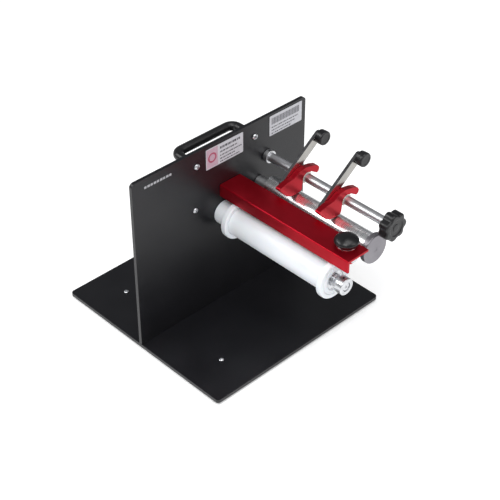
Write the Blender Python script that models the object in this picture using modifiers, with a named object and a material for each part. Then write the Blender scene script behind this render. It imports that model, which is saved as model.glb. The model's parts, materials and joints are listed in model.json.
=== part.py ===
"""Tabletop label web slitter: a base and an upright plate that carry a guide roller, a polished
anvil roller, a shaft with two swinging blade holders and a red angle bar that holds the web down.

Metres, +Z up. The world origin is on the floor, under the middle of the whole object. Everything
hangs on one empty, the centre of the base plate's underside: there, +X leads from the upright
plate along the rollers, +Y runs along the upright plate, and all the sizes below are counted.
"""

import math

import bmesh
import bpy
from mathutils import Matrix, Vector

# ---- driving dimensions ------------------------------------------------------------------
MM = 0.001
GAP = 0.3 * MM                     # air between touching pieces

BASE_SIDE = 305 * MM               # a 12 inch square plate
BASE_T = 5 * MM
FOOT_H = 4 * MM
FOOT_R = 9.5 * MM
FOOT_X, FOOT_Y = 98 * MM, 96 * MM

PLATE_T = 5 * MM
PLATE_TOP = 264 * MM
FRONT = PLATE_T / 2                # the upright plate's +X face
BACK = -PLATE_T / 2
CORNER_R = 5 * MM

REACH = 232.5 * MM                 # the furthest point along +X, the end knob's face

FRONT_Y, FRONT_Z = -1 * MM, 150.4 * MM      # guide roller's axis
REAR_Y, REAR_Z = 65 * MM, 167.5 * MM        # anvil roller's axis
SHAFT_Y, SHAFT_Z = 80.5 * MM, 202.3 * MM    # blade shaft's axis
BAR_Y, BAR_Z = 16.5 * MM, 183 * MM          # support rod's axis, where the bar tilts

SHAFT_R = 6.35 * MM                # half inch shafts
FRONT_AXLE_R = 6 * MM
REAR_AXLE_R = 5 * MM
STUB_R = 4 * MM                    # threaded ends that pass through the plate
STUB_END = -13 * MM

FRONT_ROLL_R = 20.5 * MM
FRONT_ROLL = (25.5 * MM, 207 * MM)          # first and last X
RING_R = 26.7 * MM
RING_W = 8.5 * MM
REAR_ROLL_R = 17 * MM
REAR_ROLL = (24.5 * MM, 206 * MM)
REAR_CAP_R = 21 * MM
REAR_CAP_END = 214 * MM

BAR_FOLD_Y, BAR_BACK_Y = -7.4 * MM, 29.5 * MM
BAR_TOP, BAR_LIP = 196 * MM, 178.2 * MM
BAR_T = 3 * MM
BAR_X = (3.1 * MM, 232 * MM)
PIVOT_BLOCK_R = 9.5 * MM
BAR_KNOB_X, BAR_KNOB_R = 207 * MM, 16 * MM

HOLDER_T = 8 * MM
HOLDER_X = (70 * MM, 140.5 * MM)            # each blade holder's face towards the plate
LEVER_T, LEVER_W = 4.5 * MM, 12.7 * MM
LEVER_LOW = (46 * MM, 204.2 * MM)           # y, z of the lever's two screws
LEVER_TOP = (109.5 * MM, 251.3 * MM)
LEVER_KNOB_R, LEVER_KNOB_L = 10 * MM, 11 * MM

HANDLE_Y = (-46 * MM, 57 * MM)
HANDLE_Z = 242 * MM
HANDLE_R = 6.5 * MM                # round bar
HANDLE_DEPTH = 44 * MM
HANDLE_BEND = 11.5 * MM            # bend radius of the bar's middle line
SPARE_Y, SPARE_Z = -50.7 * MM, 175.7 * MM

END_KNOB_R, END_KNOB_LOBES = 20 * MM, 7
ROUND = 24                         # sides of a round piece
SMALL = 14                         # sides of a small one

ORIGIN_X = (REACH - BASE_SIDE / 2) / 2      # middle of the whole object along X


# ---- scene and materials -----------------------------------------------------------------
for old in list(bpy.data.objects):
    bpy.data.objects.remove(old, do_unlink=True)

parts = bpy.data.collections.new("label_web_slitter")
cutters = bpy.data.collections.new("cutters")
bpy.context.scene.collection.children.link(parts)
bpy.context.scene.collection.children.link(cutters)

frame = bpy.data.objects.new("frame_origin", None)
frame.location = (-ORIGIN_X, 0, FOOT_H)
parts.objects.link(frame)


def material(name, colour, roughness, metallic=0.0):
    mat = bpy.data.materials.new(name)
    mat.use_nodes = True
    shader = mat.node_tree.nodes["Principled BSDF"]
    shader.inputs["Base Color"].default_value = (*colour, 1)
    shader.inputs["Roughness"].default_value = roughness
    shader.inputs["Metallic"].default_value = metallic
    mat.diffuse_color = (*colour, 1)
    return mat


POWDER = material("black_powder_coat", (0.012, 0.012, 0.015), 0.55)
RED = material("red_anodised", (0.28, 0.004, 0.012), 0.38, 0.6)
WHITE = material("white_acetal", (0.80, 0.82, 0.83), 0.35)
SATIN = material("satin_aluminium", (0.62, 0.63, 0.65), 0.32, 1.0)
POLISHED = material("polished_steel", (0.75, 0.76, 0.78), 0.14, 1.0)
ZINC = material("zinc_plated_steel", (0.60, 0.61, 0.62), 0.30, 1.0)
KNOB = material("black_plastic", (0.010, 0.010, 0.012), 0.42)
RUBBER = material("black_rubber", (0.015, 0.015, 0.015), 0.85)
NYLON = material("natural_nylon", (0.72, 0.70, 0.64), 0.45)
PAPER = material("label_paper", (0.60, 0.60, 0.64), 0.60)


# ---- shape helpers -----------------------------------------------------------------------
def finish(obj, mat, parent=None, smooth=35):
    """Give an object its material, its parent and smooth shading with sharp edges."""
    obj.data.materials.clear()
    obj.data.materials.append(mat)
    obj.parent = parent or frame
    if smooth:
        obj.data.shade_smooth()
        obj.data.set_sharp_from_angle(angle=math.radians(smooth))
    return obj


def new_object(name, mesh, collection=None):
    obj = bpy.data.objects.new(name, mesh)
    (collection or parts).objects.link(obj)
    return obj


def turned(name, profile, collection=None, steps=ROUND):
    """A turned piece on the X axis, from (radius, x) points that run from high x to low x on
    the outside and, for a tube, back again on the inside."""
    mesh = bpy.data.meshes.new(name)
    hollow = all(radius > 0 for radius, _ in profile)
    edges = [(i, i + 1) for i in range(len(profile) - 1)]
    if hollow:
        edges.append((len(profile) - 1, 0))
    mesh.from_pydata([(radius, 0, x) for radius, x in profile], edges, [])
    obj = new_object(name, mesh, collection)
    screw = obj.modifiers.new("turn", "SCREW")
    screw.axis = "Z"
    screw.steps = screw.render_steps = steps
    screw.use_merge_vertices = True
    screw.merge_threshold = 0.00005
    screw.use_smooth_shade = True
    obj.rotation_euler = (0, math.pi / 2, 0)
    return obj


def rounded(points, radii, steps=6):
    """The outline of a polygon with its corners rounded, each by its own radius."""
    outline = []
    count = len(points)
    for i, (point, radius) in enumerate(zip(points, radii)):
        corner = Vector(point)
        if radius <= 0:
            outline.append(corner)
            continue
        before = (Vector(points[i - 1]) - corner).normalized()
        after = (Vector(points[(i + 1) % count]) - corner).normalized()
        half = before.angle(after) / 2
        centre = corner + (before + after).normalized() * radius / math.sin(half)
        first = corner + before * radius / math.tan(half) - centre
        last = corner + after * radius / math.tan(half) - centre
        turn = first.angle_signed(last)
        for step in range(steps + 1):
            outline.append(centre + Matrix.Rotation(-turn * step / steps, 2) @ first)
    return outline


def circle(centre, radius, sides=ROUND, start=0.0, sweep=2 * math.pi):
    full = abs(sweep - 2 * math.pi) < 1e-6
    last = sides if full else sides + 1
    angles = [start + sweep * i / sides for i in range(last)]
    return [(centre[0] + radius * math.cos(a), centre[1] + radius * math.sin(a)) for a in angles]


def prism(name, outline, thickness, holes=(), collection=None):
    """A flat outline in local XY, extruded about local z = 0, as a closed mesh."""
    curve = bpy.data.curves.new(name, "CURVE")
    curve.dimensions = "2D"
    curve.fill_mode = "BOTH"
    curve.extrude = thickness / 2
    for loop in (outline, *holes):
        spline = curve.splines.new("POLY")
        spline.points.add(len(loop) - 1)
        for point, (x, y) in zip(spline.points, loop):
            point.co = (x, y, 0, 1)
        spline.use_cyclic_u = True
    flat = bpy.data.objects.new(name + "_outline", curve)
    parts.objects.link(flat)
    graph = bpy.context.evaluated_depsgraph_get()
    mesh = bpy.data.meshes.new_from_object(flat.evaluated_get(graph))
    bpy.data.objects.remove(flat, do_unlink=True)
    work = bmesh.new()
    work.from_mesh(mesh)
    bmesh.ops.remove_doubles(work, verts=work.verts, dist=0.00001)
    work.to_mesh(mesh)
    work.free()
    return new_object(name, mesh, collection)


def round_bar(name, points, radius):
    """A round bar along a flat line of (x, y) points, as a closed mesh."""
    curve = bpy.data.curves.new(name, "CURVE")
    curve.dimensions = "3D"
    curve.bevel_depth = radius
    curve.bevel_resolution = 3
    curve.use_fill_caps = True
    spline = curve.splines.new("POLY")
    spline.points.add(len(points) - 1)
    for point, (x, y) in zip(spline.points, points):
        point.co = (x, y, 0, 1)
    line = bpy.data.objects.new(name + "_line", curve)
    parts.objects.link(line)
    graph = bpy.context.evaluated_depsgraph_get()
    mesh = bpy.data.meshes.new_from_object(line.evaluated_get(graph))
    bpy.data.objects.remove(line, do_unlink=True)
    work = bmesh.new()
    work.from_mesh(mesh)
    bmesh.ops.remove_doubles(work, verts=work.verts, dist=0.00001)
    work.to_mesh(mesh)
    work.free()
    return new_object(name, mesh)


# Local XY of a prism becomes the part's YZ, and its thickness lies along X.
ACROSS = Matrix(((0, 0, 1), (1, 0, 0), (0, 1, 0))).to_euler()


def slab(name, outline, x_first, x_last, holes=(), collection=None):
    """A prism whose outline is given as (y, z) and which fills x_first to x_last."""
    obj = prism(name, outline, x_last - x_first, holes, collection)
    obj.rotation_euler = ACROSS
    obj.location.x = (x_first + x_last) / 2
    return obj


def hide(cutter):
    cutter.parent = frame
    cutter.hide_render = True
    cutter.display_type = "WIRE"
    return cutter


def rod_cutter(radius, length, location, axis="X", taper=None, sides=20):
    """A round cutter along X, Y or Z; taper is its radius at the low end, for a countersink."""
    mesh = bpy.data.meshes.new("cutter")
    work = bmesh.new()
    low = radius if taper is None else taper
    bmesh.ops.create_cone(work, cap_ends=True, segments=sides, radius1=low, radius2=radius,
                          depth=length)
    work.to_mesh(mesh)
    work.free()
    obj = new_object("cutter", mesh, cutters)
    turns = {"X": (0, math.pi / 2, 0), "Y": (-math.pi / 2, 0, 0), "Z": (0, 0, 0)}
    obj.rotation_euler = turns[axis]
    obj.location = location
    return hide(obj)


def box_cutter(low, high):
    mesh = bpy.data.meshes.new("cutter")
    work = bmesh.new()
    bmesh.ops.create_cube(work, size=1)
    size = [b - a for a, b in zip(low, high)]
    bmesh.ops.scale(work, vec=size, verts=work.verts)
    work.to_mesh(mesh)
    work.free()
    obj = new_object("cutter", mesh, cutters)
    obj.location = [(a + b) / 2 for a, b in zip(low, high)]
    return hide(obj)


def cut(obj, *tools):
    for tool in tools:
        boolean = obj.modifiers.new("cut", "BOOLEAN")
        boolean.operation = "DIFFERENCE"
        boolean.solver = "EXACT"
        boolean.object = tool
    return obj


def bevel(obj, width, segments=2, angle=50):
    mod = obj.modifiers.new("round_edges", "BEVEL")
    mod.width = width
    mod.segments = segments
    mod.limit_method = "ANGLE"
    mod.angle_limit = math.radians(angle)
    mod.harden_normals = False
    return obj


def upright_turned(name, x, y, profile, mat, steps=ROUND):
    """A turned piece whose axis stands along Z at x, y; its profile holds (radius, z)."""
    obj = turned(name, profile, steps=steps)
    obj.rotation_euler = (0, 0, 0)
    obj.location = (x, y, 0)
    return finish(obj, mat)


def disc_profile(radius, low, high):
    """Profile of a plain round bar."""
    return [(0, high), (radius, high), (radius, low), (0, low)]


def ring_profile(inner, outer, low, high, chamfer=0.0):
    """Profile of a plain ring, with its outer edges chamfered if a chamfer is given."""
    if not chamfer:
        return [(inner, high), (outer, high), (outer, low), (inner, low)]
    return [(inner, high), (outer - chamfer, high), (outer, high - chamfer),
            (outer, low + chamfer), (outer - chamfer, low), (inner, low)]


def cap_screw(name, seat, direction, head_r, head_h, shank_r, shank_l, socket_r):
    """A button-head socket screw whose head stands on seat and faces direction."""
    profile = [(0, head_h), (head_r * 0.65, head_h), (head_r, head_h * 0.45), (head_r, 0),
               (shank_r, 0), (shank_r, -shank_l), (0, -shank_l)]
    screw = turned(name, profile, steps=SMALL)
    screw.rotation_euler = (0, 0, 0)
    socket = prism(name + "_socket", circle((0, 0), socket_r, 6), head_h, collection=cutters)
    socket.location.z = head_h
    turn = Vector((0, 0, 1)).rotation_difference(Vector(direction)).to_matrix().to_4x4()
    for obj in (screw, socket):
        offset = Matrix.Translation(obj.location)
        placed = Matrix.Translation(seat) @ turn @ offset
        obj.location, obj.rotation_euler = placed.translation, placed.to_euler()
        obj.parent = frame
    hide(socket)
    return finish(cut(screw, socket), ZINC)


# ---- base, upright plate and what stands under them --------------------------------------
SCREW_YS = (-110 * MM, 0, 110 * MM)
FOOT_SPOTS = [(x, y) for x in (-FOOT_X, FOOT_X) for y in (-FOOT_Y, FOOT_Y)]
AXLE_SPOTS = ((FRONT_Y, FRONT_Z), (REAR_Y, REAR_Z), (SHAFT_Y, SHAFT_Z), (BAR_Y, BAR_Z))


def base_plate():
    half = BASE_SIDE / 2
    square = [(-half, -half), (half, -half), (half, half), (-half, half)]
    plate = prism("base_plate", rounded(square, [CORNER_R] * 4, 5), BASE_T)
    plate.location.z = BASE_T / 2
    bevel(plate, 0.5 * MM, 1)
    for y in SCREW_YS:
        cut(plate, rod_cutter(1.8 * MM, 3 * BASE_T, (0, y, BASE_T / 2), "Z", sides=SMALL),
            rod_cutter(1.8 * MM, 1.8 * MM, (0, y, 0.9 * MM), "Z", taper=3.6 * MM, sides=SMALL))
    for x, y in FOOT_SPOTS:
        cut(plate, rod_cutter(1.9 * MM, 3 * BASE_T, (x, y, BASE_T / 2), "Z", sides=SMALL))
    return finish(plate, POWDER)


def upright_plate():
    half = BASE_SIDE / 2
    low = BASE_T + GAP
    outline = rounded([(-half, low), (half, low), (half, PLATE_TOP), (-half, PLATE_TOP)],
                      [0, 0, CORNER_R + MM, CORNER_R + MM], 5)
    plate = slab("upright_plate", outline, BACK, FRONT)
    bevel(plate, 0.5 * MM, 1)
    for y, z in AXLE_SPOTS:
        cut(plate, rod_cutter(STUB_R + GAP, 3 * PLATE_T, (0, y, z)))
    for y in HANDLE_Y:
        cut(plate, rod_cutter(2.4 * MM, 3 * PLATE_T, (0, y, HANDLE_Z), sides=SMALL))
    cut(plate, rod_cutter(2.4 * MM, 3 * PLATE_T, (0, SPARE_Y, SPARE_Z), sides=SMALL))
    depth = 12 * MM
    for y in SCREW_YS:
        cut(plate, rod_cutter(1.7 * MM, 2 * depth, (0, y, low), "Z", sides=10))
    return finish(plate, POWDER)


def plate_screws():
    """Countersunk screws that hold the upright plate, from under the base."""
    top = 15 * MM
    profile = [(0, top), (1.4 * MM, top), (1.4 * MM, 2.1 * MM), (3.2 * MM, 0.3 * MM),
               (0, 0.3 * MM)]
    for i, y in enumerate(SCREW_YS, start=1):
        upright_turned("plate_screw_%d" % i, 0, y, profile, ZINC, steps=SMALL)


def feet():
    """Rubber feet, each held by a screw from above."""
    bore = 1.9 * MM
    profile = [(0, -2.9 * MM), (bore, -2.9 * MM), (bore, -GAP), (FOOT_R, -GAP),
               (FOOT_R - 1.2 * MM, -FOOT_H), (0, -FOOT_H)]
    for i, (x, y) in enumerate(FOOT_SPOTS, start=1):
        upright_turned("rubber_foot_%d" % i, x, y, profile, RUBBER, steps=18)
        cap_screw("foot_screw_%d" % i, (x, y, BASE_T + GAP), (0, 0, 1), head_r=3.6 * MM,
                  head_h=2.0 * MM, shank_r=1.5 * MM, shank_l=7.5 * MM, socket_r=1.3 * MM)


# ---- carrying handle and the plate's own screws -------------------------------------------
def carry_handle():
    """A bow handle of round bar; its screws go into the two ends."""
    near = BACK - GAP
    far = near - HANDLE_DEPTH + HANDLE_R
    y0, y1 = HANDLE_Y
    corners = [(near, y0), (far, y0), (far, y1), (near, y1)]
    handle = round_bar("carry_handle", rounded(corners, [0, HANDLE_BEND, HANDLE_BEND, 0], 6),
                       HANDLE_R)
    handle.location.z = HANDLE_Z
    for y in HANDLE_Y:
        cut(handle, rod_cutter(2.4 * MM, 34 * MM, (near, y, HANDLE_Z), sides=SMALL))
    return finish(handle, KNOB)


def plate_face_screws():
    """The handle's two screws, and one more in a tapped hole lower down."""
    for i, y in enumerate(HANDLE_Y, start=1):
        cap_screw("handle_screw_%d" % i, (FRONT + GAP, y, HANDLE_Z), (1, 0, 0), head_r=4.3 * MM,
                  head_h=2.8 * MM, shank_r=2.0 * MM, shank_l=20 * MM, socket_r=1.7 * MM)
    cap_screw("lower_screw", (FRONT + GAP, SPARE_Y, SPARE_Z), (1, 0, 0), head_r=4.0 * MM,
              head_h=2.6 * MM, shank_r=2.0 * MM, shank_l=8 * MM, socket_r=1.6 * MM)


# ---- shafts that stand out of the upright plate -------------------------------------------
def stub_profile(radius, end, bore=None):
    """A shaft with a shoulder on the plate, a threaded stub through it and, if bore is given
    as (radius, depth), a blind tapped hole in its free end."""
    shoulder = FRONT + GAP
    chamfer = 0.8 * MM
    head = [(0, end)] if bore is None else [(0, end - bore[1]), (bore[0], end - bore[1]),
                                            (bore[0], end)]
    return head + [(radius - chamfer, end), (radius, end - chamfer), (radius, shoulder),
                   (STUB_R, shoulder), (STUB_R, STUB_END), (0, STUB_END)]


def shaft(name, spot, profile, mat, steps=ROUND):
    obj = turned(name, profile, steps=steps)
    obj.location = (0, *spot)
    return finish(obj, mat)


def shafts():
    shaft("front_axle", (FRONT_Y, FRONT_Z), stub_profile(FRONT_AXLE_R, 225.5 * MM), ZINC)
    shaft("rear_axle", (REAR_Y, REAR_Z), stub_profile(REAR_AXLE_R, 203 * MM), ZINC)
    shaft("blade_shaft", (SHAFT_Y, SHAFT_Z),
          stub_profile(SHAFT_R, 216.2 * MM, (3.3 * MM, 22 * MM)), SATIN)
    shaft("support_rod", (BAR_Y, BAR_Z), stub_profile(SHAFT_R, 222 * MM), ZINC)


def shaft_nuts():
    """Flanged nuts behind the plate: a round flange with a hexagon on it."""
    names = ("front_axle_nut", "rear_axle_nut", "blade_shaft_nut", "support_rod_nut")
    flange, low = BACK - GAP - 1.6 * MM, -11.1 * MM
    for name, (y, z) in zip(names, AXLE_SPOTS):
        nut = turned(name, disc_profile(8.5 * MM, flange, BACK - GAP), steps=18)
        nut.location = (0, y, z)
        hexagon = slab(name + "_hexagon", circle((y, z), 7.4 * MM, 6), low, flange + 0.5 * MM,
                       collection=cutters)
        join = nut.modifiers.new("hexagon", "BOOLEAN")
        join.operation = "UNION"
        join.solver = "EXACT"
        join.object = hide(hexagon)
        finish(cut(nut, rod_cutter(STUB_R + GAP, 40 * MM, (0, y, z), sides=16)), ZINC)


def shaft_collar():
    profile = ring_profile(SHAFT_R + GAP, 9.2 * MM, FRONT + GAP, 10.3 * MM, 0.8 * MM)
    return shaft("shaft_collar", (SHAFT_Y, SHAFT_Z), profile, SATIN)


# ---- guide roller -------------------------------------------------------------------------
BEARING_W = 8 * MM


def bearing(name, spot, inner, outer, low):
    """A sealed ball bearing."""
    return shaft(name, spot, ring_profile(inner, outer, low, low + BEARING_W), ZINC)


def front_roller():
    low, high = FRONT_ROLL
    seat, bore = 14.3 * MM, 10 * MM
    depth = BEARING_W + 0.8 * MM
    profile = [(seat, high), (FRONT_ROLL_R, high), (FRONT_ROLL_R, low), (seat, low),
               (seat, low + depth), (bore, low + depth), (bore, high - depth),
               (seat, high - depth)]
    return shaft("front_roller", (FRONT_Y, FRONT_Z), profile, WHITE)


def front_bearings():
    bearing("front_bearing_far", (FRONT_Y, FRONT_Z), FRONT_AXLE_R + GAP, 14 * MM,
            FRONT_ROLL[0] + 0.5 * MM)
    bearing("front_bearing_near", (FRONT_Y, FRONT_Z), FRONT_AXLE_R + GAP, 14 * MM,
            FRONT_ROLL[1] - 0.5 * MM - BEARING_W)


RING_LOWS = {"far": FRONT_ROLL[0] + 0.3 * MM, "near": FRONT_ROLL[1] - 0.3 * MM - RING_W}


def guide_ring(which):
    """A white flange that grips the guide roller and can be pushed along it."""
    low = RING_LOWS[which]
    high = low + RING_W
    bore = FRONT_ROLL_R + GAP
    profile = ring_profile(bore, RING_R, low, high, 1.2 * MM)
    return shaft("guide_ring_" + which, (FRONT_Y, FRONT_Z), profile, WHITE)


def front_spacer():
    profile = ring_profile(FRONT_AXLE_R + GAP, 17 * MM, FRONT + GAP, 25 * MM, 1.2 * MM)
    return shaft("front_spacer", (FRONT_Y, FRONT_Z), profile, WHITE)


def front_end_washer():
    profile = ring_profile(FRONT_AXLE_R + GAP, 9 * MM, 206.8 * MM, 214.2 * MM)
    return shaft("front_end_washer", (FRONT_Y, FRONT_Z), profile, ZINC)


COLLAR = (214.5 * MM, 226.5 * MM)


def front_end_collar():
    """The collar that keeps the guide roller on its axle, with its set screw's tapped hole."""
    profile = ring_profile(FRONT_AXLE_R + GAP, 11.7 * MM, *COLLAR, 0.9 * MM)
    collar = turned("front_end_collar", profile)
    collar.location = (0, FRONT_Y, FRONT_Z)
    hole = rod_cutter(1.8 * MM, 12 * MM, (sum(COLLAR) / 2, FRONT_Y, FRONT_Z + 12 * MM), "Z",
                      sides=SMALL)
    return finish(cut(collar, hole), ZINC)


# ---- anvil roller -------------------------------------------------------------------------
REAR_SEAT = 13.3 * MM
REAR_NEAR_SEAT = 16.5 * MM         # depth of the seat at the free end


def rear_spacer():
    profile = ring_profile(REAR_AXLE_R + GAP, 9 * MM, FRONT + GAP, REAR_ROLL[0] + 0.2 * MM)
    return shaft("rear_spacer", (REAR_Y, REAR_Z), profile, SATIN)


def rear_roller():
    low, high = REAR_ROLL
    bore = 9.5 * MM
    depth = BEARING_W + 0.8 * MM
    profile = [(REAR_SEAT, high), (REAR_ROLL_R, high), (REAR_ROLL_R, low), (REAR_SEAT, low),
               (REAR_SEAT, low + depth), (bore, low + depth), (bore, high - REAR_NEAR_SEAT),
               (REAR_SEAT, high - REAR_NEAR_SEAT)]
    return shaft("rear_roller", (REAR_Y, REAR_Z), profile, POLISHED)


def rear_bearings():
    bearing("rear_bearing_far", (REAR_Y, REAR_Z), REAR_AXLE_R + GAP, 13 * MM,
            REAR_ROLL[0] + 0.5 * MM)
    bearing("rear_bearing_near", (REAR_Y, REAR_Z), REAR_AXLE_R + GAP, 13 * MM,
            REAR_ROLL[1] - REAR_NEAR_SEAT + 0.4 * MM)


def rear_end_cap():
    """A disc with a hollow spigot that presses into the roller's end."""
    face = REAR_ROLL[1] + GAP
    spigot = REAR_ROLL[1] - 6 * MM
    chamfer = 1.2 * MM
    profile = [(0, REAR_CAP_END), (REAR_CAP_R - chamfer, REAR_CAP_END),
               (REAR_CAP_R, REAR_CAP_END - chamfer), (REAR_CAP_R, face), (13 * MM, face),
               (13 * MM, spigot),
               (10 * MM, spigot), (10 * MM, face + MM), (0, face + MM)]
    return shaft("rear_end_cap", (REAR_Y, REAR_Z), profile, SATIN)


# ---- blade holders ------------------------------------------------------------------------
SEAT_R = 8.5 * MM                  # the holder's seat over the shaft's liner
LINER_R = 8.2 * MM


def holder_outline():
    """The holder's side view: a nose towards the bar, a back that rises and falls to a beak
    behind the shaft, a seat over the shaft's liner and a foot over the anvil roller."""
    nose = [(32.5, 201.5), (27, 207.5)]
    back = [(43, 211.5), (55, 212.3), (66.5, 218.5), (77, 219.8), (90, 217), (100, 213.3)]
    beak = [(102.8, 208.5), (101.5, 204), (98.3, 202.3), (87.2, 209.6)]
    foot = [(70.3, 189.5), (68.3, 186.5), (56.5, 186.3), (49, 187.6), (41, 192)]
    seat = circle((SHAFT_Y, SHAFT_Z), SEAT_R, 8, math.radians(50), math.radians(130))
    before = [(y * MM, z * MM) for y, z in nose + back + beak]
    after = [(y * MM, z * MM) for y, z in foot]
    radii = [2.5 * MM] * len(nose) + [5 * MM] * len(back) + [1.6 * MM] * 3 + [0]
    radii += [0] * len(seat) + [0.8 * MM] * len(foot)
    return rounded(before + seat + after, radii, 2)


def blade_holder(number, low):
    high = low + HOLDER_T
    holder = slab("blade_holder_%d" % number, holder_outline(), low, high)
    middle = (low + high) / 2
    bevel(holder, 0.5 * MM, 1)
    slot = box_cutter((middle - 0.6 * MM, 47.5 * MM, 180 * MM),
                      (middle + 0.6 * MM, 67.5 * MM, 196.6 * MM))
    screw = rod_cutter(2.0 * MM, 12 * MM, (low, *LEVER_LOW), sides=SMALL)
    return finish(cut(holder, slot, screw), RED)


def blade(number, low):
    middle = low + HOLDER_T / 2
    outline = [(48 * MM, 196 * MM), (48 * MM, 186.6 * MM), (50 * MM, 184.85 * MM),
               (66 * MM, 184.85 * MM), (67 * MM, 186 * MM), (67 * MM, 196 * MM)]
    return finish(slab("blade_%d" % number, outline, middle - 0.3 * MM, middle + 0.3 * MM),
                  POLISHED, smooth=0)


def shaft_liner(number, low):
    """A nylon clip on the shaft: it slides along, and the holder swings on it."""
    first, sweep = math.radians(20), math.radians(215)
    centre = (SHAFT_Y, SHAFT_Z)
    outer = circle(centre, LINER_R, 14, first, sweep)
    inner = circle(centre, SHAFT_R + GAP, 14, first, sweep)
    liner = slab("shaft_liner_%d" % number, outer + inner[::-1], low + GAP, low + HOLDER_T - GAP)
    return finish(liner, NYLON)


def lever(number, low):
    """A flat bright bar on the holder's side, which lifts the blade off its roller."""
    along = Vector(LEVER_TOP) - Vector(LEVER_LOW)
    tilt = math.atan2(along.y, along.x)
    half = math.pi / 2
    outline = (circle(LEVER_LOW, LEVER_W / 2, 9, tilt + half, math.pi)
               + circle(LEVER_TOP, LEVER_W / 2, 9, tilt - half, math.pi))
    bar = slab("lever_%d" % number, outline, low - GAP - LEVER_T, low - GAP)
    bevel(bar, 0.5 * MM, 1)
    for spot in (LEVER_LOW, LEVER_TOP):
        cut(bar, rod_cutter(2.0 * MM, 4 * LEVER_T, (low, *spot), sides=SMALL))
    return finish(bar, POLISHED)


def lever_knob(number, low):
    """A round knob with a moulded stud that passes through the lever's end."""
    high = low + LEVER_KNOB_L
    back = low - GAP - LEVER_T
    edge = 1.2 * MM
    profile = [(0, high), (LEVER_KNOB_R - edge, high), (LEVER_KNOB_R, high - edge),
               (LEVER_KNOB_R - 0.5 * MM, low), (1.7 * MM, low), (1.7 * MM, back), (0, back)]
    return shaft("lever_knob_%d" % number, LEVER_TOP, profile, KNOB)


def lever_screw(number, low):
    seat = (low - 2 * GAP - LEVER_T, *LEVER_LOW)
    return cap_screw("lever_screw_%d" % number, seat, (-1, 0, 0), head_r=3.5 * MM,
                     head_h=2.4 * MM, shank_r=1.7 * MM, shank_l=10 * MM, socket_r=1.3 * MM)


# ---- knob on the blade shaft's end --------------------------------------------------------
KNOB_WASHER = (216.5 * MM, 217.5 * MM)
KNOB_LOW = 217.8 * MM


def end_knob():
    depth = REACH - KNOB_LOW
    sides = END_KNOB_LOBES * 8
    outline = []
    for i in range(sides):
        angle = 2 * math.pi * i / sides
        wave = math.cos(END_KNOB_LOBES * angle)
        radius = END_KNOB_R - 2.2 * MM * (1 - wave) / 2 * (1 + 0.35 * (1 - wave) / 2)
        outline.append((SHAFT_Y + radius * math.cos(angle), SHAFT_Z + radius * math.sin(angle)))
    knob = slab("end_knob", outline, REACH - depth, REACH)
    bevel(knob, 1.4 * MM, 1, 60)
    hole = rod_cutter(3.3 * MM, 16 * MM, (KNOB_LOW + 1 * MM, SHAFT_Y, SHAFT_Z))
    return finish(cut(knob, hole), KNOB)


def end_knob_stud():
    return shaft("end_knob_stud", (SHAFT_Y, SHAFT_Z),
                 disc_profile(3.0 * MM, 198 * MM, 226.4 * MM), ZINC, SMALL)


def end_knob_washer():
    return shaft("end_knob_washer", (SHAFT_Y, SHAFT_Z),
                 ring_profile(3.3 * MM, 8 * MM, *KNOB_WASHER), ZINC)


# ---- hold-down bar ------------------------------------------------------------------------
def pivot_outline(top):
    """A pivot block's side view: round below, square above."""
    low = circle((BAR_Y, BAR_Z), PIVOT_BLOCK_R, 12, math.pi, math.pi)
    return low + [(BAR_Y + PIVOT_BLOCK_R, top), (BAR_Y - PIVOT_BLOCK_R, top)]


BAR_LUGS = ((8 * MM, 22 * MM), (BAR_KNOB_X - 11.5 * MM, BAR_KNOB_X + 11.5 * MM))


def hold_down_bar():
    """The red angle bar, with two lugs brazed under it that tilt on the support rod."""
    inner_y, inner_z = BAR_FOLD_Y + BAR_T, BAR_TOP - BAR_T
    corners = [(BAR_FOLD_Y, BAR_LIP), (inner_y, BAR_LIP), (inner_y, inner_z),
               (BAR_BACK_Y, inner_z), (BAR_BACK_Y, BAR_TOP), (BAR_FOLD_Y, BAR_TOP)]
    radii = [0.4 * MM, 0.4 * MM, 1.0 * MM, 0.4 * MM, 0.4 * MM, 1.8 * MM]
    bar = slab("hold_down_bar", rounded(corners, radii, 4), *BAR_X)
    for low, high in BAR_LUGS:
        lug = slab("lug", pivot_outline(inner_z + MM), low, high, collection=cutters)
        join = bar.modifiers.new("braze", "BOOLEAN")
        join.operation = "UNION"
        join.solver = "EXACT"
        join.object = hide(lug)
    middle = sum(BAR_X) / 2
    cut(bar, rod_cutter(SHAFT_R + GAP, 240 * MM, (middle, BAR_Y, BAR_Z), sides=ROUND),
        rod_cutter(3.0 * MM, 24 * MM, (BAR_KNOB_X, BAR_Y, BAR_TOP), "Z", sides=SMALL))
    return finish(bar, RED)


BAR_KNOB_H = 13.5 * MM
BAR_WASHER = (BAR_TOP + GAP, BAR_TOP + 1.3 * MM)


def bar_knob():
    """A low domed knob, wider than it is high."""
    low = BAR_WASHER[1] + GAP
    high = low + BAR_KNOB_H
    dome = [(BAR_KNOB_R * math.cos(a), high - 8 * MM + 8 * MM * math.sin(a))
            for a in [math.radians(18 * step) for step in range(4, -1, -1)]]
    profile = [(0, high)] + dome + [(BAR_KNOB_R - 0.6 * MM, low + 1.5 * MM),
                                    (BAR_KNOB_R - 2.6 * MM, low), (2.8 * MM, low),
                                    (2.8 * MM, low + 9 * MM), (0, low + 9 * MM)]
    return upright_turned("bar_knob", BAR_KNOB_X, BAR_Y, profile, KNOB)


def bar_knob_stud():
    low = BAR_Z + SHAFT_R + 0.4 * MM
    profile = disc_profile(2.5 * MM, low, BAR_WASHER[1] + 9 * MM)
    return upright_turned("bar_knob_stud", BAR_KNOB_X, BAR_Y, profile, ZINC, steps=SMALL)


def bar_knob_washer():
    profile = ring_profile(3.1 * MM, 13 * MM, *BAR_WASHER)
    return upright_turned("bar_knob_washer", BAR_KNOB_X, BAR_Y, profile, ZINC)


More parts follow.
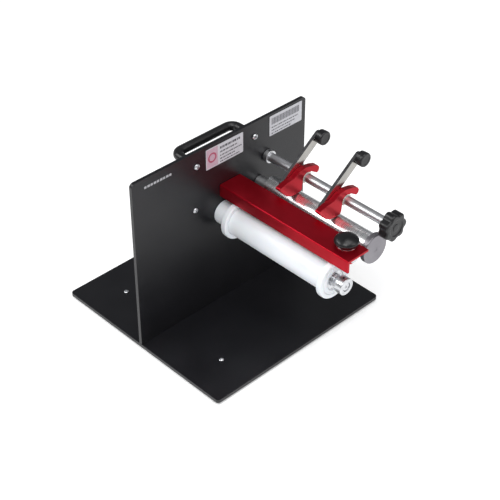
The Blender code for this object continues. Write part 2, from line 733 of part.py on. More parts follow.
# ---- labels -------------------------------------------------------------------------------
def label(name, y0, y1, z0, z1):
    low = FRONT + GAP
    corners = [(y0, z0), (y1, z0), (y1, z1), (y0, z1)]
    return finish(slab(name, rounded(corners, [1 * MM] * 4, 3), low, low + 0.2 * MM), PAPER,
                  smooth=0)


# ---- build --------------------------------------------------------------------------------
base_plate()
upright_plate()
plate_screws()
feet()
carry_handle()
plate_face_screws()
shafts()
shaft_nuts()
shaft_collar()
front_spacer()
front_roller()
front_bearings()
guide_ring("far")
guide_ring("near")
front_end_washer()
front_end_collar()
rear_spacer()
rear_roller()
rear_bearings()
rear_end_cap()
for count, holder_low in enumerate(HOLDER_X, start=1):
    blade_holder(count, holder_low)
    blade(count, holder_low)
    shaft_liner(count, holder_low)
    lever(count, holder_low)
    lever_knob(count, holder_low)
    lever_screw(count, holder_low)
end_knob()
end_knob_stud()
end_knob_washer()
hold_down_bar()
bar_knob()
bar_knob_stud()
bar_knob_washer()
label("label_centre", -30 * MM, 35.5 * MM, 228.5 * MM, 259 * MM)
label("label_right", 84 * MM, 145 * MM, 230 * MM, 260.5 * MM)
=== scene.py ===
"""Looks for the tabletop label web slitter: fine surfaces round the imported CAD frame.

The machine is built here in millimetres in its own frame: the origin is the middle of the base
plate's underside, +X leads from the upright plate along the rollers, +Y runs along the plate.
settle() moves each finished piece into the row frame, in metres.
"""

import json
import math

import bmesh
import bpy
from mathutils import Matrix, Vector


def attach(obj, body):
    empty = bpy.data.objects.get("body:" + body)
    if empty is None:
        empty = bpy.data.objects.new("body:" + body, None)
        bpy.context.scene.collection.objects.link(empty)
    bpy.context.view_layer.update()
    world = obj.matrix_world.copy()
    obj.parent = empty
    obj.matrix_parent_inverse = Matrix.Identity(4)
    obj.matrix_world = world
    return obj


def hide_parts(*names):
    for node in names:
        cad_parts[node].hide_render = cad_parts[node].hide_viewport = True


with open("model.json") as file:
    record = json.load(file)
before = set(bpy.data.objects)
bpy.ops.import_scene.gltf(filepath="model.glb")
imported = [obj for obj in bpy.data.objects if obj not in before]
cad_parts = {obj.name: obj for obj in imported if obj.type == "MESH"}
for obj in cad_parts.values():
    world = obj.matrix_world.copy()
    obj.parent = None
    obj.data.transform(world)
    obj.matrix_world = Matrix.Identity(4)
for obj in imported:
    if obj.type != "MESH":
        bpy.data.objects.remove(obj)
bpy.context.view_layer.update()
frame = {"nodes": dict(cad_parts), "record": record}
NODES = frame["nodes"]
RECORD = frame["record"]
BODY_OF = {n: body for body, names in RECORD["behaviour"]["bodies"].items() for n in names}
SLOT_OF = {s["node"]: s["material_slot"] for s in RECORD["subparts"]}

# The machine's frame in the row's frame: the base's middle lies under the upright plate.
TO_ROW = Matrix.Translation((-0.040, 0, 0.004)) @ Matrix.Scale(0.001, 4)

# Driving sizes, in mm, as in the CAD. Pairs of numbers are (y, z) places on the upright plate.
HALF, BASE_THICK, PLATE_CORNER, EASED = 152.5, 5, 5, 0.6
FRONT, BACK, PLATE_LOW, PLATE_TOP = 2.5, -2.5, 5.3, 264
SEATED = 2.8  # where pieces sit on the upright plate's front
AXLE_HOLE, SCREW_HOLE = 4.3, 2.4
AXLES = {"front_axle": (-1, 150.4), "rear_axle": (65, 167.5), "blade_shaft": (80.5, 202.3),
         "support_rod": (16.5, 183)}
GUIDE, ANVIL, SHAFT, ROD = AXLES.values()
HANDLE_Y, HANDLE_Z, HANDLE_R, HANDLE_BEND = (-46, 57), 242, 6.5, 11.5
LOWER_SCREW = (-50.7, 175.7)
SHAFT_R, SHAFT_CLEAR = 6.35, 6.65
LEVER_LOW, LEVER_TOP, LEVER_R, LEVER_HOLE = (46, 204.2), (109.5, 251.3), 6.35, 2.0
LEVER_RISE = math.atan2(LEVER_TOP[1] - LEVER_LOW[1], LEVER_TOP[0] - LEVER_LOW[0])
HOLDER_X, HOLDER_T = (70, 140.5), 8
BAR_KNOB_X = 207


# ---- materials ---------------------------------------------------------------------------
class Shader:
    """A Principled material with helpers for the node patterns on it."""

    def __init__(self, name, colour, roughness, metallic=0.0, **sockets):
        self.mat = bpy.data.materials.new(name)
        self.mat.use_nodes = True
        self.tree = self.mat.node_tree
        self.bsdf = self.tree.nodes["Principled BSDF"]
        self.bsdf.inputs["Base Color"].default_value = (*colour, 1)
        self.bsdf.inputs["Roughness"].default_value = roughness
        self.bsdf.inputs["Metallic"].default_value = metallic
        for socket, value in sockets.items():
            self.bsdf.inputs[socket.replace("_", " ")].default_value = value

    def node(self, kind, **values):
        made = self.tree.nodes.new(kind)
        for key, value in values.items():
            setattr(made, key, value)
        return made

    def at(self, scale=(1, 1, 1), rotation=(0, 0, 0)):
        """The piece's own coordinates, turned and then stretched."""
        coord = self.node("ShaderNodeTexCoord")
        turn = self.node("ShaderNodeMapping")
        turn.inputs["Rotation"].default_value = rotation
        self.tree.links.new(coord.outputs["Object"], turn.inputs["Vector"])
        stretch = self.node("ShaderNodeMapping")
        stretch.inputs["Scale"].default_value = scale
        self.tree.links.new(turn.outputs["Vector"], stretch.inputs["Vector"])
        return stretch.outputs["Vector"]

    def noise(self, where, scale, detail=3.0):
        made = self.node("ShaderNodeTexNoise")
        made.inputs["Scale"].default_value = scale
        made.inputs["Detail"].default_value = detail
        made.inputs["Roughness"].default_value = 0.55
        self.tree.links.new(where, made.inputs["Vector"])
        return made.outputs["Fac"]

    def cells(self, where, scale):
        made = self.node("ShaderNodeTexVoronoi")
        made.inputs["Scale"].default_value = scale
        self.tree.links.new(where, made.inputs["Vector"])
        return made.outputs["Distance"]

    def level(self, value, low, high, start=0.3, end=0.7):
        """value between start and end becomes low to high."""
        made = self.node("ShaderNodeMapRange")
        for name, number in (("From Min", start), ("From Max", end), ("To Min", low),
                             ("To Max", high)):
            made.inputs[name].default_value = number
        self.tree.links.new(value, made.inputs["Value"])
        return made.outputs["Result"]

    def colour(self, value, first, second):
        """The base colour goes from first to second as value rises."""
        ramp = self.node("ShaderNodeValToRGB")
        ramp.color_ramp.elements[0].position = 0.3
        ramp.color_ramp.elements[0].color = (*first, 1)
        ramp.color_ramp.elements[1].position = 0.7
        ramp.color_ramp.elements[1].color = (*second, 1)
        self.tree.links.new(value, ramp.inputs["Fac"])
        self.tree.links.new(ramp.outputs["Color"], self.bsdf.inputs["Base Color"])

    def rough(self, value, low, high, start=0.3, end=0.7):
        self.tree.links.new(self.level(value, low, high, start, end),
                            self.bsdf.inputs["Roughness"])

    def relief(self, height, strength, distance, under=None):
        """Bumps from a height, over another relief if one is given."""
        made = self.node("ShaderNodeBump")
        made.inputs["Strength"].default_value = strength
        made.inputs["Distance"].default_value = distance
        self.tree.links.new(height, made.inputs["Height"])
        if under is not None:
            self.tree.links.new(under, made.inputs["Normal"])
        self.tree.links.new(made.outputs["Normal"], self.bsdf.inputs["Normal"])
        return made.outputs["Normal"]


def powder_coat():
    """Black powder coat: a fine orange-peel skin with faint clouds and specks of dust."""
    s = Shader("black_powder_coat", (0.005, 0.005, 0.007), 0.42, Specular_IOR_Level=0.42)
    clouds = s.noise(s.at(), 14, 4)
    specks = s.noise(s.at(), 900, 2)
    s.colour(clouds, (0.0042, 0.0042, 0.0058), (0.0066, 0.0066, 0.0086))
    s.rough(clouds, 0.33, 0.42)
    s.relief(specks, 0.22, 0.0004, s.relief(s.cells(s.at(), 420), 0.10, 0.0004))
    return s.mat


def red_anodised():
    """Red anodised aluminium with a faint brushed grain along X."""
    s = Shader("red_anodised", (0.42, 0.004, 0.014), 0.33, 0.85)
    grain = s.noise(s.at((30, 900, 900)), 1.0, 3)
    clouds = s.noise(s.at(), 25, 3)
    s.colour(clouds, (0.36, 0.002, 0.010), (0.46, 0.005, 0.018))
    s.rough(grain, 0.28, 0.40)
    s.relief(grain, 0.10, 0.0002)
    return s.mat


def white_acetal():
    """Turned white acetal: faint rings round the axis and a soft waxy gloss."""
    s = Shader("white_acetal", (0.80, 0.83, 0.86), 0.34, Subsurface_Weight=0.06,
               Subsurface_Scale=0.003)
    rings = s.noise(s.at((1600, 12, 12)), 1.0, 2)
    clouds = s.noise(s.at(), 30, 3)
    s.colour(clouds, (0.77, 0.80, 0.84), (0.83, 0.86, 0.885))
    s.rough(clouds, 0.28, 0.40)
    s.relief(rings, 0.10, 0.0002)
    return s.mat


def turned_metal(name, first, second, low, high, rings):
    """Metal turned round the X axis: its rings catch the light, its tone drifts a little."""
    s = Shader(name, first, (low + high) / 2, 1.0)
    lines = s.noise(s.at((rings, 14, 14)), 1.0, 3)
    clouds = s.noise(s.at(), 40, 3)
    s.colour(clouds, first, second)
    s.rough(lines, low, high)
    s.relief(lines, 0.012, 0.0002)
    return s.mat


def brushed_lever():
    """Bright flat bar, ground along its length."""
    s = Shader("ground_steel", (0.74, 0.73, 0.71), 0.2, 1.0)
    lines = s.noise(s.at((1400, 30, 1400), (-LEVER_RISE, 0, 0)), 1.0, 3)
    s.colour(s.noise(s.at(), 60, 3), (0.33, 0.32, 0.30), (0.39, 0.38, 0.36))
    s.rough(lines, 0.14, 0.28)
    s.relief(lines, 0.12, 0.0002)
    return s.mat


def painted_shade_edge():
    """The lever's sawn edges, made near-black as painted shade."""
    s = Shader("painted_shade_edge", (0.030, 0.030, 0.032), 0.45, 0.6)
    s.colour(s.noise(s.at(), 200, 4), (0.018, 0.018, 0.020), (0.045, 0.045, 0.048))
    s.rough(s.noise(s.at(), 500, 3), 0.36, 0.55)
    s.relief(s.noise(s.at(), 900, 3), 0.15, 0.0002)
    return s.mat


def zinc():
    """Bright zinc plate with its small crystals."""
    s = Shader("zinc_plated_steel", (0.62, 0.63, 0.65), 0.3, 1.0)
    spangle = s.cells(s.at(), 900)
    s.colour(s.noise(s.at(), 160, 3), (0.54, 0.55, 0.57), (0.68, 0.69, 0.71))
    s.rough(spangle, 0.27, 0.36, 0.0, 0.8)
    s.relief(spangle, 0.02, 0.0002)
    return s.mat


def black_plastic():
    """Moulded black plastic with a fine spark-eroded skin, a little polished by hands."""
    s = Shader("black_plastic", (0.007, 0.007, 0.008), 0.35, Specular_IOR_Level=0.40)
    worn = s.noise(s.at(), 55, 3)
    s.colour(worn, (0.005, 0.005, 0.006), (0.010, 0.010, 0.011))
    s.rough(worn, 0.26, 0.42)
    s.relief(s.noise(s.at(), 1400, 2), 0.14, 0.0003)
    return s.mat


def rubber():
    """Matt black rubber, dusty in places."""
    s = Shader("black_rubber", (0.014, 0.014, 0.014), 0.8)
    s.colour(s.noise(s.at(), 120, 4), (0.010, 0.010, 0.010), (0.022, 0.021, 0.020))
    s.rough(s.noise(s.at(), 300, 3), 0.7, 0.9)
    s.relief(s.noise(s.at(), 700, 3), 0.3, 0.0004)
    return s.mat


def nylon():
    """Undyed nylon, slightly see-through at its surface."""
    s = Shader("natural_nylon", (0.72, 0.70, 0.63), 0.4, Subsurface_Weight=0.1,
               Subsurface_Scale=0.002)
    s.colour(s.noise(s.at(), 90, 3), (0.68, 0.66, 0.58), (0.76, 0.74, 0.68))
    s.rough(s.noise(s.at(), 260, 2), 0.34, 0.5)
    s.relief(s.noise(s.at(), 1000, 2), 0.08, 0.0002)
    return s.mat


def printed(name, first, second):
    """Label stock or ink, with the mottle of printed paper."""
    s = Shader(name, first, 0.5)
    s.colour(s.noise(s.at(), 260, 4), first, second)
    s.rough(s.noise(s.at(), 500, 2), 0.42, 0.58)
    s.relief(s.noise(s.at(), 1800, 2), 0.05, 0.0001)
    return s.mat


LEVER_STEEL = brushed_lever()
# The lever's edge material is near-black painted shade for its sawn edges.
LEVER_SHADED_EDGE = painted_shade_edge()
LOOKS = {
    "black_powder_coat": powder_coat(),
    "red_anodised": red_anodised(),
    "white_acetal": white_acetal(),
    "satin_aluminium": turned_metal("satin_aluminium", (0.60, 0.605, 0.62), (0.68, 0.685, 0.70),
                                    0.34, 0.46, 1500),
    "polished_steel": turned_metal("polished_steel", (0.80, 0.81, 0.82), (0.87, 0.875, 0.88),
                                   0.24, 0.32, 1200),
    "zinc_plated_steel": zinc(),
    "black_plastic": black_plastic(),
    "black_rubber": rubber(),
    "natural_nylon": nylon(),
    "label_paper": printed("label_paper", (0.52, 0.52, 0.56), (0.60, 0.60, 0.63)),
}
INK = printed("label_ink", (0.035, 0.035, 0.045), (0.07, 0.07, 0.085))
PINK = printed("label_pink", (0.46, 0.31, 0.38), (0.54, 0.38, 0.45))
CRIMSON = printed("label_crimson", (0.33, 0.05, 0.10), (0.42, 0.08, 0.14))
WHITE_INK = printed("white_ink", (0.36, 0.36, 0.38), (0.44, 0.44, 0.46))
BLASTED = turned_metal("blasted_aluminium", (0.23, 0.22, 0.24), (0.27, 0.26, 0.28),
                       0.34, 0.46, 900)
STEEL_DARK = turned_metal("dark_oxide_steel", (0.10, 0.10, 0.11), (0.16, 0.16, 0.17),
                          0.3, 0.45, 900)


# ---- shape helpers -----------------------------------------------------------------------
def rounded(points, radii, steps=5):
    """The outline of a polygon with its corners rounded, each by its own radius."""
    outline = []
    count = len(points)
    for i, (point, radius) in enumerate(zip(points, radii)):
        corner = Vector(point)
        if radius <= 0:
            outline.append(corner)
            continue
        before = (Vector(points[i - 1]) - corner).normalized()
        after = (Vector(points[(i + 1) % count]) - corner).normalized()
        half = before.angle(after) / 2
        centre = corner + (before + after).normalized() * radius / math.sin(half)
        first = corner + before * radius / math.tan(half) - centre
        last = corner + after * radius / math.tan(half) - centre
        turn = first.angle_signed(last)
        for step in range(steps + 1):
            outline.append(centre + Matrix.Rotation(-turn * step / steps, 2) @ first)
    return outline


def circle(centre, radius, sides=64, start=0.0, sweep=2 * math.pi):
    """Points round a circle, or along an arc of it with both its ends."""
    last = sides if abs(sweep - 2 * math.pi) < 1e-6 else sides + 1
    angles = [start + sweep * i / sides for i in range(last)]
    return [(centre[0] + radius * math.cos(a), centre[1] + radius * math.sin(a)) for a in angles]


def new_object(name, bm):
    """A linked object from a bmesh, which is used up."""
    mesh = bpy.data.meshes.new(name)
    bmesh.ops.recalc_face_normals(bm, faces=bm.faces)
    bm.to_mesh(mesh)
    bm.free()
    obj = bpy.data.objects.new(name, mesh)
    bpy.context.scene.collection.objects.link(obj)
    return obj


def lathe(name, corners, fillets, spot, axis="X", steps=72):
    """A turned piece. Its corners are (radius, place along the axis), outer side first; spot is
    (y, z) for an X axis and (x, y) for a Z axis."""
    if not isinstance(fillets, (list, tuple)):
        fillets = [0 if r == 0 else fillets for r, _ in corners]
    outline = rounded(corners, fillets, 4)
    closed = all(p[0] > 1e-6 for p in outline)
    bm = bmesh.new()
    rings = []
    for step in range(steps):
        a = 2 * math.pi * step / steps
        rings.append([None if p[0] <= 1e-6 else
                      bm.verts.new((p[0] * math.cos(a), p[0] * math.sin(a), p[1]))
                      for p in outline])
    poles = [None if p[0] > 1e-6 else bm.verts.new((0, 0, p[1])) for p in outline]
    count = len(outline)
    for step in range(steps):
        this, following = rings[step], rings[(step + 1) % steps]
        for i in range(count if closed else count - 1):
            j = (i + 1) % count
            corners_of = [this[i] or poles[i], following[i] or poles[i],
                          following[j] or poles[j], this[j] or poles[j]]
            unique = list(dict.fromkeys(corners_of))
            if len(unique) > 2:
                bm.faces.new(unique)
    if axis == "X":
        to_x = Matrix(((0, 0, 1, 0), (1, 0, 0, spot[0]), (0, 1, 0, spot[1]), (0, 0, 0, 1)))
        bmesh.ops.transform(bm, matrix=to_x, verts=bm.verts)
    elif axis == "Z":
        bmesh.ops.translate(bm, vec=(*spot, 0), verts=bm.verts)
    return new_object(name, bm)


def add_line(curve, points, closed):
    spline = curve.splines.new("POLY")
    spline.points.add(len(points) - 1)
    for point, (x, y, z) in zip(spline.points, points):
        point.co = (x, y, z, 1)
    spline.use_cyclic_u = closed


def bmesh_of(curve):
    """The curve's surface with its doubled points joined."""
    obj = bpy.data.objects.new(curve.name, curve)
    bpy.context.scene.collection.objects.link(obj)
    graph = bpy.context.evaluated_depsgraph_get()
    mesh = bpy.data.meshes.new_from_object(obj.evaluated_get(graph))
    bpy.data.objects.remove(obj, do_unlink=True)
    bm = bmesh.new()
    bm.from_mesh(mesh)
    bpy.data.meshes.remove(mesh)
    bmesh.ops.remove_doubles(bm, verts=bm.verts, dist=0.001)
    return bm


def prism(name, outline, low, high, axis="X", holes=()):
    """A flat outline, extruded from low to high along an axis: (y, z) points for X, (x, y) for
    Z, as a closed mesh."""
    curve = bpy.data.curves.new(name, "CURVE")
    curve.dimensions = "2D"
    curve.fill_mode = "BOTH"
    curve.extrude = (high - low) / 2
    for loop in (outline, *holes):
        add_line(curve, [(x, y, 0) for x, y in loop], True)
    bm = bmesh_of(curve)
    bmesh.ops.translate(bm, vec=(0, 0, (low + high) / 2), verts=bm.verts)
    if axis == "X":
        to_x = Matrix(((0, 0, 1, 0), (1, 0, 0, 0), (0, 1, 0, 0), (0, 0, 0, 1)))
        bmesh.ops.transform(bm, matrix=to_x, verts=bm.verts)
    return new_object(name, bm)


def box(low, high):
    """A box cutter between two opposite corners."""
    bm = bmesh.new()
    bmesh.ops.create_cube(bm, size=1)
    bmesh.ops.scale(bm, vec=[b - a for a, b in zip(low, high)], verts=bm.verts)
    bmesh.ops.translate(bm, vec=[(a + b) / 2 for a, b in zip(low, high)], verts=bm.verts)
    return new_object("tool", bm)


def drill(radius, spot, low, high, axis="X", top=None, sides=48):
    """A round cutter from low to high; top is its radius at the high end."""
    top = radius if top is None else top
    return lathe("tool", [(0, high), (top, high), (radius, low), (0, low)], 0, spot, axis, sides)


def bake(obj):
    """Applies the object's modifiers."""
    graph = bpy.context.evaluated_depsgraph_get()
    mesh = bpy.data.meshes.new_from_object(obj.evaluated_get(graph))
    obj.modifiers.clear()
    obj.data = mesh
    return obj


def combine(obj, *tools, how="DIFFERENCE"):
    """Cuts, joins or intersects obj with the tools, which are used up."""
    for tool in tools:
        mod = obj.modifiers.new(how, "BOOLEAN")
        mod.operation, mod.solver, mod.object = how, "EXACT", tool
    bpy.context.view_layer.update()
    bake(obj)
    for tool in tools:
        bpy.data.objects.remove(tool, do_unlink=True)
    return obj


def soften(obj, width, segments=3):
    """Rounds the sharp edges."""
    mod = obj.modifiers.new("round_edges", "BEVEL")
    mod.width, mod.segments = width, segments
    mod.limit_method = "ANGLE"
    mod.angle_limit = math.radians(40)
    bpy.context.view_layer.update()
    return bake(obj)


def turned_to(obj, seat, direction):
    """Moves a piece made along +Z at the origin to its seat, facing a direction."""
    turn = Vector((0, 0, 1)).rotation_difference(Vector(direction)).to_matrix().to_4x4()
    obj.data.transform(Matrix.Translation(seat) @ turn)
    return obj


def settle(obj, node=None, look=None, body=None, slot=None, sharp=32):
    """Moves a finished piece into the row frame, and gives it its looks and body; the slot only
    picks the looks when none are given.
    """
    obj.data.transform(TO_ROW)
    obj.data.shade_smooth()
    obj.data.set_sharp_from_angle(angle=math.radians(sharp))
    even = obj.modifiers.new("even_normals", "WEIGHTED_NORMAL")
    even.keep_sharp = True
    slot = slot or SLOT_OF[node]
    obj.data.materials.clear()
    obj.data.materials.append(look or LOOKS[slot])
    obj.name = obj.data.name = (node + "_fine") if node else obj.name
    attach(obj, body or BODY_OF[node])
    if node:
        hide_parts(node)
    return obj


# ---- plates ------------------------------------------------------------------------------
FEET = [(x, y) for x in (-98, 98) for y in (-96, 96)]
PLATE_SCREWS = (-110, 0, 110)


def base_plate():
    """The square plate: plain holes for the feet, countersunk ones for the upright plate."""
    square = [(-HALF, -HALF), (HALF, -HALF), (HALF, HALF), (-HALF, HALF)]
    outline = rounded(square, [PLATE_CORNER] * 4, 10)
    plate = soften(prism("plate", outline, 0, BASE_THICK, "Z"), EASED)
    through = (-1, BASE_THICK + 1, "Z")
    tools = [drill(1.9, spot, *through) for spot in FEET]
    for y in PLATE_SCREWS:
        tools.append(drill(1.8, (0, y), *through))
        tools.append(drill(3.9, (0, y), -0.15, 1.95, "Z", top=1.7))
    settle(combine(plate, *tools), "base_plate")


def upright_plate():
    """The plate that carries the rollers: rounded upper corners and its bolt holes."""
    corners = [(-HALF, PLATE_LOW), (HALF, PLATE_LOW), (HALF, PLATE_TOP), (-HALF, PLATE_TOP)]
    plate = soften(prism("plate", rounded(corners, [0, 0, 6, 6], 10), BACK, FRONT), EASED)
    through = (-9, 9)
    tools = [drill(AXLE_HOLE, spot, *through) for spot in AXLES.values()]
    tools += [drill(SCREW_HOLE, (y, HANDLE_Z), *through) for y in HANDLE_Y]
    tools.append(drill(SCREW_HOLE, LOWER_SCREW, *through))
    settle(combine(plate, *tools), "upright_plate")


def button_screw(node, seat, direction, head_r, head_h, shank_r, shank_l, socket_r):
    """A socket button-head screw: a domed head, a hexagon socket and a plain shank."""
    dome = [(head_r * math.cos(a), head_h * (0.22 + 0.78 * math.sin(a)))
            for a in [math.radians(d) for d in (78, 66, 54, 42, 30, 18, 8, 0)]]
    corners = [(0, head_h)] + dome + [(head_r, 0.05), (head_r - 0.1, 0), (shank_r, 0),
                                      (shank_r, -shank_l + 0.5), (shank_r - 0.5, -shank_l),
                                      (0, -shank_l)]
    screw = lathe("screw", corners, 0, (0, 0), "Z", 40)
    socket = prism("tool", circle((0, 0), socket_r, 6), head_h * 0.28, head_h + 1, "Z")
    settle(turned_to(combine(screw, socket), seat, direction), node)


def plate_hardware():
    """Countersunk screws under the base, the feet with their screws, the handle's screws."""
    for i, y in enumerate(PLATE_SCREWS, start=1):
        screw = lathe("screw", [(0, 15), (1.2, 15), (1.4, 14.6), (1.4, 2.1), (3.2, 0.35),
                                (3.1, 0.3), (0, 0.3)], 0, (0, y), "Z", 40)
        socket = prism("tool", [(a, b + y) for a, b in circle((0, 0), 1.2, 6)], 0, 1.5, "Z")
        settle(combine(screw, socket), "plate_screw_%d" % i)
    for i, (x, y) in enumerate(FEET, start=1):
        button_screw("foot_screw_%d" % i, (x, y, BASE_THICK + 0.3), (0, 0, 1), 3.6, 2.0, 1.5,
                     7.5, 1.3)
        foot = lathe("foot", [(0, -2.9), (1.9, -2.9), (1.9, -0.3), (9.5, -0.3), (9.0, -1.9),
                              (8.3, -4), (6.6, -4), (6.2, -3.6), (0, -3.6)],
                     [0, 0, 0, 0.4, 1.0, 0.7, 0.3, 0.3, 0], (x, y), "Z", 56)
        settle(foot, "rubber_foot_%d" % i)
    for i, y in enumerate(HANDLE_Y, start=1):
        button_screw("handle_screw_%d" % i, (SEATED, y, HANDLE_Z), (1, 0, 0), 4.3, 2.8, 2.0,
                     20, 1.7)
    button_screw("lower_screw", (SEATED, *LOWER_SCREW), (1, 0, 0), 4.0, 2.6, 2.0, 8, 1.6)


def carry_handle():
    """A bow handle of round bar: its screws go into the two ends."""
    near, far = -SEATED, -40.3
    y0, y1 = HANDLE_Y
    corners = [(near, y0), (far, y0), (far, y1), (near, y1)]
    path = rounded(corners, [0, HANDLE_BEND, HANDLE_BEND, 0], 16)
    curve = bpy.data.curves.new("bow", "CURVE")
    curve.dimensions = "3D"
    curve.bevel_depth, curve.bevel_resolution, curve.use_fill_caps = HANDLE_R, 10, True
    add_line(curve, [(x, y, HANDLE_Z) for x, y in path], False)
    bow = new_object("bow", bmesh_of(curve))
    tools = [drill(SCREW_HOLE, (y, HANDLE_Z), -20, 0) for y in HANDLE_Y]
    settle(combine(bow, *tools), "carry_handle", sharp=40)


# ---- shafts ------------------------------------------------------------------------------
def threaded_end(radius, low, high, pitch=1.25):
    """Corners of a thread's crests and roots, from high down to low."""
    corners = []
    turns = int((high - low) / pitch)
    for i in range(turns):
        top = high - i * pitch
        corners += [(radius, top - 0.15), (radius, top - 0.40), (radius - 0.55, top - 0.85),
                    (radius - 0.55, top - 1.05)]
    return corners


def shaft(node, spot, radius, end, hollow=None):
    """A shaft with a shoulder on the plate and a threaded stub behind it. hollow is the radius
    and depth of a blind hole in the free end."""
    if hollow:
        corners = [(0, end - hollow[1]), (hollow[0], end - hollow[1]),
                   (hollow[0], end - 0.6), (hollow[0] + 0.6, end)]
    else:
        corners = [(0, end - 3.4), (0.7, end - 3.0), (0.7, end - 1.9), (2.4, end)]
    corners += [(radius - 0.7, end), (radius, end - 0.7), (radius, SEATED + 0.3),
                (radius - 0.3, SEATED), (4, SEATED), (4, -3.0)]
    corners += threaded_end(4.0, -12.6, -3.0) + [(3.4, -13.0), (0, -13.0)]
    settle(lathe("shaft", corners, 0, spot), node)


def nut(node, spot):
    """A flanged hexagon nut with chamfered corners."""
    bore = AXLE_HOLE
    flange = lathe("nut", [(bore, -2.8), (8.5, -2.8), (8.5, -3.7), (6.6, -4.9), (bore, -4.9)],
                   [0, 0.25, 0.3, 0, 0], spot)
    hexagon = prism("hexagon", circle(spot, 7.4, 6), -11.1, -4.2)
    crown = lathe("crown", [(7.4, -4.0), (7.4, -10.2), (6.2, -11.1), (bore, -11.1),
                            (bore, -4.0)], 0, spot)
    combine(hexagon, crown, how="INTERSECT")
    combine(flange, hexagon, how="UNION")
    settle(flange, node)


def collar(node, spot, inner, outer, low, high, fillet, screw=None):
    """A plain ring; screw is the radius of a set screw's radial hole on its upper side."""
    ring = lathe("ring", [(inner, high), (outer, high), (outer, low), (inner, low)],
                 [0.2, fillet, fillet, 0.2], spot)
    if screw:
        middle = (low + high) / 2
        combine(ring, drill(screw, (middle, spot[0]), spot[1] + inner - 0.6,
                            spot[1] + outer + 2, "Z", sides=32))
    settle(ring, node)


def set_screw(name, spot, x, low, high, radius):
    """A small socket set screw in a collar's radial hole, from low to high above the axis."""
    low, high = spot[1] + low, spot[1] + high
    screw = lathe(name, [(0, high), (radius, high), (radius, low), (0, low)],
                  [0, 0.25, 0.3, 0], (x, spot[0]), "Z", 32)
    socket = prism("tool", circle((x, spot[0]), radius * 0.55, 6), high - 1.4, high + 1, "Z")
    combine(screw, socket)
    screw.name = name
    settle(screw, None, STEEL_DARK, "stand", "zinc_plated_steel")


def shafts_and_collars():
    """What is fixed to the upright plate: shafts, their nuts, spacers and end pieces."""
    guide_bore, anvil_bore = 6.3, 5.3
    shaft("front_axle", GUIDE, 6, 225.5)
    shaft("rear_axle", ANVIL, 5, 203)
    shaft("blade_shaft", SHAFT, SHAFT_R, 216.2, hollow=(3.3, 22))
    shaft("support_rod", ROD, SHAFT_R, 222)
    for name, spot in AXLES.items():
        nut(name + "_nut", spot)
    collar("shaft_collar", SHAFT, SHAFT_CLEAR, 9.2, SEATED, 10.3, 0.8, screw=1.6)
    set_screw("shaft_collar_set_screw", SHAFT, 6.55, 6.6, 8.9, 1.45)
    collar("rear_spacer", ANVIL, anvil_bore, 9, SEATED, 24.7, 0.5)
    collar("front_spacer", GUIDE, guide_bore, 17, SEATED, 25, 1.0)
    profile = [(guide_bore, 214.2), (9.0, 214.2), (9.0, 212.0), (8.1, 212.0), (8.1, 209.2),
               (9.0, 209.2), (9.0, 206.8), (guide_bore, 206.8)]
    settle(lathe("washers", profile, [0, 0.4, 0.3, 0.2, 0.2, 0.3, 0.4, 0], GUIDE),
           "front_end_washer")
    collar("front_end_collar", GUIDE, guide_bore, 11.7, 214.5, 226.5, 1.1, screw=1.8)
    set_screw("front_collar_set_screw", GUIDE, 220.5, 6.4, 11.0, 1.65)


# ---- rollers -----------------------------------------------------------------------------
def roller(node, spot, radius, bore, seat, ends, depths, eases):
    """A sleeve from one end to the other, with a bearing's seat sunk into each end: its radius
    and its two depths. eases are the fillets of the seats' mouths and of the outer edges."""
    low, high = ends
    far, near = low + depths[0], high - depths[1]
    profile = [(seat, high), (radius, high), (radius, low), (seat, low), (seat, far),
               (bore, far), (bore, near), (seat, near)]
    mouth, edge = eases
    settle(lathe("roller", profile, [mouth, edge, edge, mouth, 0, 0, 0, 0], spot, steps=96),
           node)


def rollers():
    """Both rollers with the guide roller's flanges, the anvil roller's cap and the bearings."""
    roller("front_roller", GUIDE, 20.5, 10, 14.3, (25.5, 207), (8.8, 8.8), (0.3, 1.0))
    inner, outer, width = 20.8, 26.7, 8.5
    for side, low in (("far", 25.8), ("near", 198.2)):
        high = low + width
        profile = [(inner, high), (outer, high), (outer, low), (inner, low)]
        settle(lathe("ring", profile, [0.4, 1.5, 1.5, 0.4], GUIDE, steps=96),
               "guide_ring_" + side)
    roller("rear_roller", ANVIL, 17, 9.5, 13.3, (24.5, 206), (8.8, 16.5), (0.2, 0.6))
    cap = [(0, 213.6), (3.0, 213.6), (3.4, 214), (21, 214), (21, 206.3), (13, 206.3),
           (13, 200), (10, 200), (10, 207.3), (0, 207.3)]
    settle(lathe("cap", cap, [0, 0.2, 0.2, 1.3, 0.6, 0, 0.5, 0.2, 0, 0], ANVIL, steps=96),
           "rear_end_cap", BLASTED)
    for name, spot, inner, outer, starts in (("front", GUIDE, 6.3, 14.0, (26, 198.5)),
                                             ("rear", ANVIL, 5.3, 13.0, (25, 189.9))):
        for side, x in zip(("far", "near"), starts):
            bearing("%s_bearing_%s" % (name, side), spot, inner, outer, x)


def bearing(node, spot, inner, outer, low):
    """A shielded ball bearing: two rings with shields sunk between them."""
    high = low + 8
    corners = [(inner, high), (inner + 1.8, high), (inner + 1.8, high - 0.5),
               (outer - 1.8, high - 0.5), (outer - 1.8, high), (outer, high), (outer, low),
               (outer - 1.8, low), (outer - 1.8, low + 0.5), (inner + 1.8, low + 0.5),
               (inner + 1.8, low), (inner, low)]
    fillets = [0.3, 0.1, 0, 0, 0.1, 0.4, 0.4, 0.1, 0, 0, 0.1, 0.3]
    settle(lathe("bearing", corners, fillets, spot), node)


